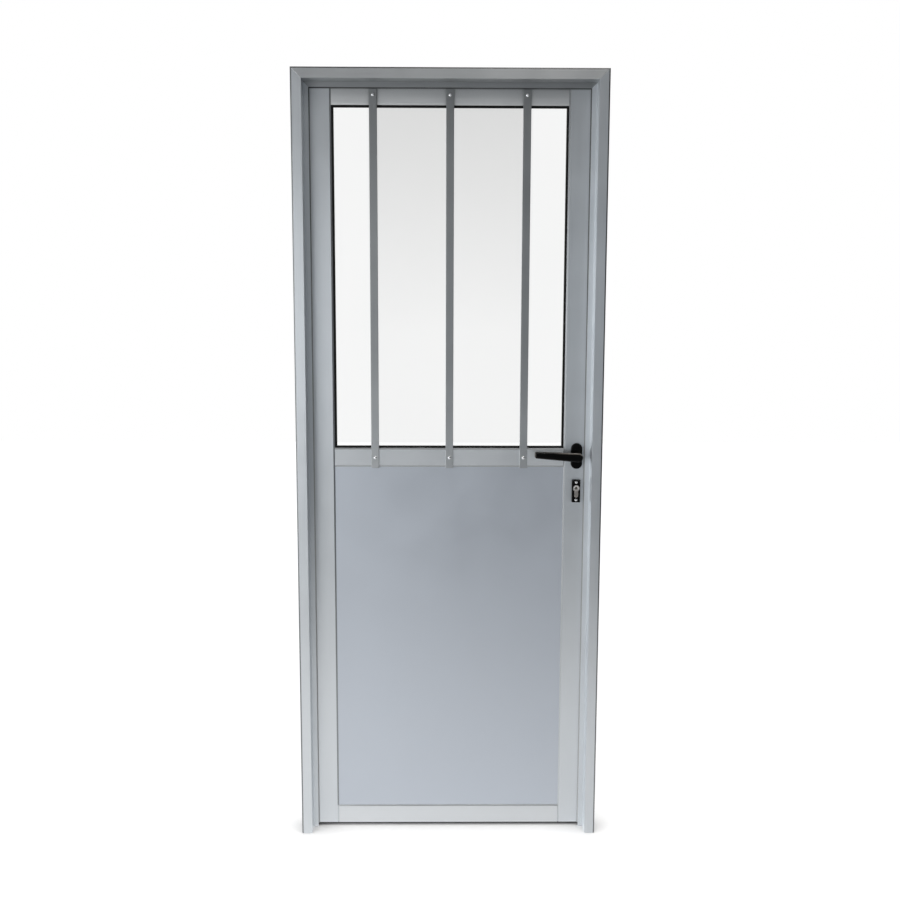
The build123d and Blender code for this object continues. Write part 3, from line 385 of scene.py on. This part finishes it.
# painted light: the seals are lighter towards the floor
sealLook = {
    **rubberLook, "colour": (0.085, 0.088, 0.09), "cloudColour": (0.13, 0.133, 0.135), "cloudScale": 14.0,
    "lowLightColour": (0.60, 0.605, 0.61), "lowColourSpan": (0.1, 1.7),
}
sealRubber = mouldedBlack("sealRubber", sealLook)
bushLook = {
    **rubberLook, "colour": (0.02, 0.02, 0.021), "cloudColour": (0.035, 0.035, 0.035), "roughness": 0.42,
}
bushPlastic = mouldedBlack("bushPlastic", bushLook)
paintLook = {
    **rubberLook, "colour": (0.001, 0.001, 0.001), "cloudColour": (0.002, 0.002, 0.002), "roughness": 0.22,
    "roughSpread": 0.04, "specular": 0.12, "grainScale": 1200.0, "grainDepth": 0.06,
}
blackMetal = mouldedBlack("blackMetal", paintLook)
# painted highlight: the lever's upper rounding beside the hub and its tip are lighter
leverLook = {
    **paintLook, "edge": 4.0 * mm, "paintedGlintColour": (0.17, 0.155, 0.14), "glintRise": (0.15, 0.5),
    "glintCrown": (0.90, 0.98), "glintSpan": (0.270, 0.310), "tipShare": 0.5, "tipSpan": (-0.3, -0.8),
}
leverPaint = mouldedBlack("leverPaint", leverLook)
# painted shade: the pane's tint darkens high up between the outer bars
glassLook = {
    "tint": (0.945, 0.948, 0.945), "filmScale": 3.0, "filmRoughness": 0.012, "filmShade": 0.985, "ior": 1.46,
    "shadeAside": (0.190, 0.212), "shadeSpan": (1.35, 1.95), "shadeLow": 0.03, "shadeHigh": 0.24,
}
clearPane = clearGlass("clearPane", glassLook)
print("finishes made:", len(bpy.data.materials))


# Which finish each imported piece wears

slotFinish = {
    "anodised_aluminium": uprightAluminium, "panel_aluminium": panelAluminium, "bar_aluminium": barAluminium,
    "cast_aluminium": castAluminium, "hinge_aluminium": hingeAluminium, "clear_glass": clearPane,
    "black_rubber": blackRubber, "black_metal": blackMetal, "bright_zinc": brightZinc,
    "satin_nickel": satinNickel, "lock_steel": lockSteel, "bush_plastic": bushPlastic,
}
ownFinish = {
    "frame_head": headAluminium, "hinge_jamb": hingeJambAluminium, "strike_jamb": strikeJambAluminium,
    "hinge_stile": hingeStileAluminium, "lock_stile": lockStileAluminium,
    "top_rail": topRailAluminium, "middle_rail": middleRailAluminium, "bottom_rail": bottomRailAluminium,
    "glass_cross_beads": crossAluminium, "panel_cross_beads": crossAluminium,
    "outside_lever": leverPaint, "inside_lever": leverPaint,
    "hinge_side_seal": sealRubber, "strike_side_seal": sealRubber, "head_seal": sealRubber,
}
slotNames = {}


def finishNodes():
    for name, node in cadNodes.items():
        slotNames[name] = node.material_slots[0].material.name.split(".")[0]
        for place in node.material_slots:
            place.material = ownFinish.get(name, slotFinish[slotNames[name]])


finishNodes()
print("finishes put on the packed pieces")


# Turned and cut pieces for packed fasteners; sizes in mm from the top of the head, angles in degrees

fastenerSettings = {
    "weldReach": 0.001 * mm, "slotTurn": 37.0, "sharpAngle": 32.0, "cutRise": 2.0, "slotTaper": 0.8,
}


def turnedMesh(profile, sides):
    # closed solid about Z from (radius, height) points, the first and the last of them on the axis
    shape = bmesh.new()
    rings = []
    for radius, height in profile:
        count = sides if radius else 1
        angles = [2.0 * math.pi * index / count for index in range(count)]
        points = [(radius * math.cos(angle), radius * math.sin(angle), height) for angle in angles]
        rings.append([shape.verts.new(Vector(point) * mm) for point in points])
    for near, far in zip(rings, rings[1:]):
        for index in range(sides):
            places = (near, index), (near, index + 1), (far, index + 1), (far, index)
            shape.faces.new(list(dict.fromkeys(ring[step % len(ring)] for ring, step in places)))
    return meshOf(shape)


def prismMesh(outline, top, bottom, taper):
    # solid over a flat outline, its lower end narrowed by the taper
    shape = bmesh.new()
    upper = [shape.verts.new(Vector((x, y, top)) * mm) for x, y in outline]
    lower = [shape.verts.new(Vector((x * taper, y * taper, bottom)) * mm) for x, y in outline]
    shape.faces.new(upper)
    shape.faces.new(lower)
    for index in range(len(outline)):
        shape.faces.new((upper[index - 1], upper[index], lower[index], lower[index - 1]))
    return meshOf(shape)


def meshOf(shape):
    bmesh.ops.recalc_face_normals(shape, faces=shape.faces)
    mesh = bpy.data.meshes.new("turnedPiece")
    shape.to_mesh(mesh)
    shape.free()
    return mesh


def cutMesh(mesh, cutter):
    # the first solid less the second
    body = bpy.data.objects.new("cutBody", mesh)
    tool = bpy.data.objects.new("cutTool", cutter)
    for thing in (body, tool):
        bpy.context.scene.collection.objects.link(thing)
    less = body.modifiers.new("less", "BOOLEAN")
    less.operation, less.solver, less.object = "DIFFERENCE", "EXACT", tool
    ready = bpy.context.evaluated_depsgraph_get()
    result = bpy.data.meshes.new_from_object(body.evaluated_get(ready))
    for thing in (body, tool):
        bpy.data.objects.remove(thing)
    return result


def looseBoxes(nodeName):
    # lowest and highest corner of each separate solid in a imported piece
    shape = bmesh.new()
    shape.from_mesh(cadNodes[nodeName].data)
    bmesh.ops.remove_doubles(shape, verts=shape.verts, dist=fastenerSettings["weldReach"])
    boxes = []
    for first in shape.verts:
        waiting, reached = ([] if first.tag else [first]), []
        first.tag = True
        while waiting:
            vert = waiting.pop()
            reached.append(vert.co.copy())
            for other in (edge.other_vert(vert) for edge in vert.link_edges):
                if not other.tag:
                    other.tag = True
                    waiting.append(other)
        if reached:
            low = Vector([min(point[axis] for point in reached) for axis in range(3)])
            high = Vector([max(point[axis] for point in reached) for axis in range(3)])
            boxes.append((low, high))
    shape.free()
    return boxes


def headPlaces(nodeName, facing):
    # where the head of each packed fastener is, turned to face out; with no facing, front and back differ
    places = []
    for index, (low, high) in enumerate(looseBoxes(nodeName)):
        middle = (low + high) / 2.0
        out = Vector(facing) if facing else Vector((0.0, math.copysign(1.0, middle.y), 0.0))
        top = Vector([middle[axis] + out[axis] * (high - low)[axis] / 2.0 for axis in range(3)])
        turn = Matrix.Rotation(math.radians(fastenerSettings["slotTurn"] * index), 4, "Z")
        places.append(Matrix.Translation(top) @ out.to_track_quat("Z", "Y").to_matrix().to_4x4() @ turn)
    return places


def addCopies(name, mesh, places, nodeName, body):
    shape = bmesh.new()
    for place in places:
        one = mesh.copy()
        one.transform(place)
        shape.from_mesh(one)
        bpy.data.meshes.remove(one)
    joined = meshOf(shape)
    joined.shade_smooth()
    joined.set_sharp_from_angle(angle=math.radians(fastenerSettings["sharpAngle"]))
    piece = bpy.data.objects.new(name, joined)
    bpy.context.scene.collection.objects.link(piece)
    joined.materials.append(slotFinish[slotNames[nodeName]])
    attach(piece, body)
    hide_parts(nodeName)


def crossOutline(arm, half):
    corner = [(half, arm), (-half, arm), (-half, half), (-arm, half), (-arm, -half), (-half, -half)]
    return corner + [(-x, -y) for x, y in corner]


domeScrew = {
    "profile": [
        (0.0, 0.0), (1.5, -0.1), (2.8, -0.5), (3.7, -1.2), (4.3, -2.2), (4.4, -3.0),
        (2.1, -3.0), (2.1, -19.0), (0.0, -21.1),
    ],
    "sides": 40, "slotArm": 2.0, "slotHalf": 0.42, "slotDepth": 1.7,
}
flatScrew = {
    "profile": [(0.0, 0.0), (3.7, 0.0), (3.95, -0.2), (2.0, -2.1), (2.0, -12.0), (0.0, -14.0)],
    "sides": 36, "slotArm": 2.2, "slotHalf": 0.45, "slotDepth": 1.6,
}
raisedScrew = {
    "profile": [
        (0.0, 0.75), (1.2, 0.68), (2.3, 0.42), (3.25, 0.0), (1.8, -1.5), (1.8, -14.6), (0.0, -16.4),
    ],
    "sides": 36, "slotArm": 1.7, "slotHalf": 0.36, "slotDepth": 1.2,
}
outside, inside, lockSide, hingeSide = (0.0, -1.0, 0.0), (0.0, 1.0, 0.0), (1.0, 0.0, 0.0), (-1.0, 0.0, 0.0)
screwSets = {
    "bar_screws": {"name": "barScrews", "look": domeScrew, "facing": outside, "body": "leaf"},
    "escutcheon_screws": {"name": "escutcheonScrews", "look": raisedScrew, "facing": None, "body": "leaf"},
    "hinge_frame_screws": {"name": "hingeFrameScrews", "look": flatScrew, "facing": inside, "body": "frame"},
    "hinge_leaf_screws": {"name": "hingeLeafScrews", "look": flatScrew, "facing": inside, "body": "leaf"},
    "faceplate_screws": {"name": "faceplateScrews", "look": flatScrew, "facing": lockSide, "body": "leaf"},
    "strike_plate_screws": {"name": "strikeScrews", "look": flatScrew, "facing": hingeSide, "body": "frame"},
}


def addScrews(nodeName, rows):
    look = rows["look"]
    outline = crossOutline(look["slotArm"], look["slotHalf"])
    slot = prismMesh(outline, fastenerSettings["cutRise"], -look["slotDepth"], fastenerSettings["slotTaper"])
    screw = cutMesh(turnedMesh(look["profile"], look["sides"]), slot)
    addCopies(rows["name"], screw, headPlaces(nodeName, rows["facing"]), nodeName, rows["body"])


for nodeName, rows in screwSets.items():
    addScrews(nodeName, rows)
print("screws with crossed slots:", len(screwSets), "sets")


# Key plug: a bright rim round a sunk middle with the keyway in it

keyPlugLook = {
    "profile": [
        (0.0, -0.7), (4.1, -0.7), (4.5, -0.1), (4.7, 0.0), (6.1, 0.0), (6.5, -0.4),
        (6.5, -25.2), (0.0, -25.2),
    ],
    "sides": 48, "keyway": (1.2, 4.0), "keywayDepth": 20.0, "keywayTaper": 1.0,
}


def addKeyPlug(look):
    half, reach = look["keyway"]
    outline = [(half, reach), (-half, reach), (-half, -reach), (half, -reach)]
    slot = prismMesh(outline, fastenerSettings["cutRise"], -look["keywayDepth"], look["keywayTaper"])
    plug = cutMesh(turnedMesh(look["profile"], look["sides"]), slot)
    addCopies("keyPlug", plug, headPlaces("outer_plug", outside), "outer_plug", "key_plug")


addKeyPlug(keyPlugLook)
print("key plug cut")


# Camera: above the lock, nearly square to the door; the angles are in degrees

cameraLook = {
    "place": (-0.022, -2.600, 1.367), "pitch": -7.156, "turn": -0.508, "roll": -0.159, "focalPixels": 990.0,
    "imagePixels": 900.0, "sensor": 36.0,
}


def addCamera(look):
    data = bpy.data.cameras.new("doorCamera")
    data.sensor_width = look["sensor"]
    data.lens = look["sensor"] * look["focalPixels"] / look["imagePixels"]
    camera = bpy.data.objects.new("doorCamera", data)
    bpy.context.scene.collection.objects.link(camera)
    camera.location = look["place"]
    pitch, roll, turn = (math.radians(look[key]) for key in ("pitch", "roll", "turn"))
    camera.rotation_euler = Euler((math.pi / 2 + pitch, roll, turn))
    bpy.context.scene.camera = camera


addCamera(cameraLook)


# Floor, room and lamps

white = (1.0, 1.0, 1.0)


def seenDirectly(tree, path):
    return combine(tree, "MAXIMUM", path["Is Camera Ray"], path["Is Transmission Ray"])


floorLook = {
    "half": 9.0, "drop": 0.5 * mm, "near": (0.82, 0.82, 0.82), "far": (0.42, 0.44, 0.46),
    "nearReach": 0.8, "farReach": 4.0, "roughness": 0.9, "specular": 0.1, "nearGlow": 0.74, "farGlow": 1.0,
    "mirrorGlow": (0.48, 0.35), "mirrorSpan": (-0.4, 0.4),
    "shelterReach": 110.0 * mm, "shelterSpan": (0.12, 0.95), "shelterSamples": 16,
}


def addFloor(look):
    mesh = bpy.data.meshes.new("studioFloor")
    sides = (-1.0, -1.0), (1.0, -1.0), (1.0, 1.0), (-1.0, 1.0)
    corners = [(x * look["half"], y * look["half"], -look["drop"]) for x, y in sides]
    mesh.from_pydata(corners, [], [(0, 1, 2, 3)])
    floor = bpy.data.objects.new("studioFloor", mesh)
    bpy.context.scene.collection.objects.link(floor)
    material, tree, shader = newTree("paleFloor")
    place = ownPlace(tree)
    reach = combineVectors(tree, "LENGTH", "Value", place)
    away = spread(tree, reach, 0.0, 1.0, look["nearReach"], look["farReach"])
    tree.links.new(twoTone(tree, away, look["near"], look["far"]), shader.inputs["Base Color"])
    shader.inputs["Roughness"].default_value = look["roughness"]
    shader.inputs["Specular IOR Level"].default_value = look["specular"]
    shader.inputs["Emission Color"].default_value = rgba(white)
    path = addNode(tree, "ShaderNodeLightPath").outputs
    # sheltered floor glows less, so the gap under the leaf stays dark
    settings = {"samples": look["shelterSamples"]}
    shelter = addNode(tree, "ShaderNodeAmbientOcclusion", {"Distance": look["shelterReach"]}, **settings)
    clear = spread(tree, shelter.outputs["AO"], 0.0, 1.0, *look["shelterSpan"])
    shown = spread(tree, away, look["nearGlow"], look["farGlow"], 0.0, 1.0)
    shown = combine(tree, "MULTIPLY", shown, clear)
    direct = combine(tree, "MULTIPLY", seenDirectly(tree, path), shown)
    # metal sees a dimmer floor, brighter on the left
    across = spread(tree, partsOf(tree, place)["X"], *look["mirrorGlow"], *look["mirrorSpan"])
    faded = combine(tree, "MULTIPLY", spread(tree, away, 1.0, 0.0, 0.0, 1.0), across)
    mirrored = combine(tree, "MULTIPLY", path["Is Glossy Ray"], faded)
    tree.links.new(combine(tree, "ADD", direct, mirrored), shader.inputs["Emission Strength"])
    mesh.materials.append(material)


roomLook = {
    "low": (0.50, 0.53, 0.56), "eye": (0.36, 0.38, 0.40), "high": (0.13, 0.13, 0.13),
    "top": (0.24, 0.24, 0.24),
    "stops": {0.0: "low", 0.30: "low", 0.36: "eye", 0.50: "high", 1.0: "top"}, "stopSpan": (-0.5, 1.0),
    "leftGain": 1.45, "rightGain": 0.62, "gainSpan": (-0.5, 0.5), "gainHeights": (0.05, 0.30),
    "sideGain": 0.35, "sideSpan": (0.70, 0.85), "behindSpan": (0.78, 0.94),
}


def addRoom(look):
    # white all round for camera and glass; metal sees white behind the door and a dimmer room in front
    world = bpy.data.worlds.new("studioRoom")
    bpy.context.scene.world = world
    world.use_nodes = True
    tree = world.node_tree
    tree.nodes.clear()
    way = partsOf(tree, addNode(tree, "ShaderNodeTexCoord").outputs["Generated"])
    ramp = addNode(tree, "ShaderNodeValToRGB", {"Fac": spread(tree, way["Z"], 0.0, 1.0, *look["stopSpan"])})
    for height in list(look["stops"])[1:-1]:
        ramp.color_ramp.elements.new(height)
    for element, name in zip(ramp.color_ramp.elements, look["stops"].values()):
        element.color = rgba(look[name])
    across = spread(tree, way["X"], look["leftGain"], look["rightGain"], *look["gainSpan"])
    lowOnly = spread(tree, way["Z"], 1.0, 0.0, *look["gainHeights"])
    across = mixValues(tree, lowOnly, 1.0, across)
    sides = spread(tree, combine(tree, "ABSOLUTE", way["X"]), 1.0, look["sideGain"], *look["sideSpan"])
    front = dimmed(tree, ramp.outputs["Color"], combine(tree, "MULTIPLY", across, sides))
    behind = spread(tree, way["Y"], 0.0, 1.0, *look["behindSpan"])
    room = twoTone(tree, behind, front, white)
    path = addNode(tree, "ShaderNodeLightPath").outputs
    colour = twoTone(tree, seenDirectly(tree, path), room, white)
    light = addNode(tree, "ShaderNodeBackground", {"Color": colour, "Strength": 1.0})
    output = addNode(tree, "ShaderNodeOutputWorld")
    tree.links.new(light.outputs[0], output.inputs["Surface"])


lamps = {
    "leftSoftbox": {
        "place": (-2.6, -2.1, 1.0), "aim": (0.0, 0.0, 0.9), "size": (2.8, 2.6), "watts": 58.0,
        "colour": (1.0, 1.0, 1.0),
    },
    "topSoftbox": {
        "place": (0.3, -1.6, 4.2), "aim": (0.0, 0.0, 0.6), "size": (3.0, 2.0), "watts": 34.0,
        "colour": (1.0, 0.99, 0.98),
    },
    "leverGlint": {
        "place": (0.5, -0.75, 3.4), "aim": (0.3, 0.0, 1.03), "size": (0.6, 0.35), "watts": 8.0,
        "colour": (1.0, 0.96, 0.90),
    },
}


def addLamp(name, look):
    data = bpy.data.lights.new(name, "AREA")
    data.shape = "RECTANGLE"
    data.size, data.size_y = look["size"]
    data.energy = look["watts"]
    data.color = look["colour"]
    lamp = bpy.data.objects.new(name, data)
    bpy.context.scene.collection.objects.link(lamp)
    lamp.location = look["place"]
    aim = Vector(look["aim"]) - lamp.location
    lamp.rotation_euler = aim.to_track_quat("-Z", "Y").to_euler()


addFloor(floorLook)
addRoom(roomLook)
for lampName, lampLook in lamps.items():
    addLamp(lampName, lampLook)
bpy.context.scene.view_settings.view_transform = "Standard"
print("camera, floor, room and lamps set")
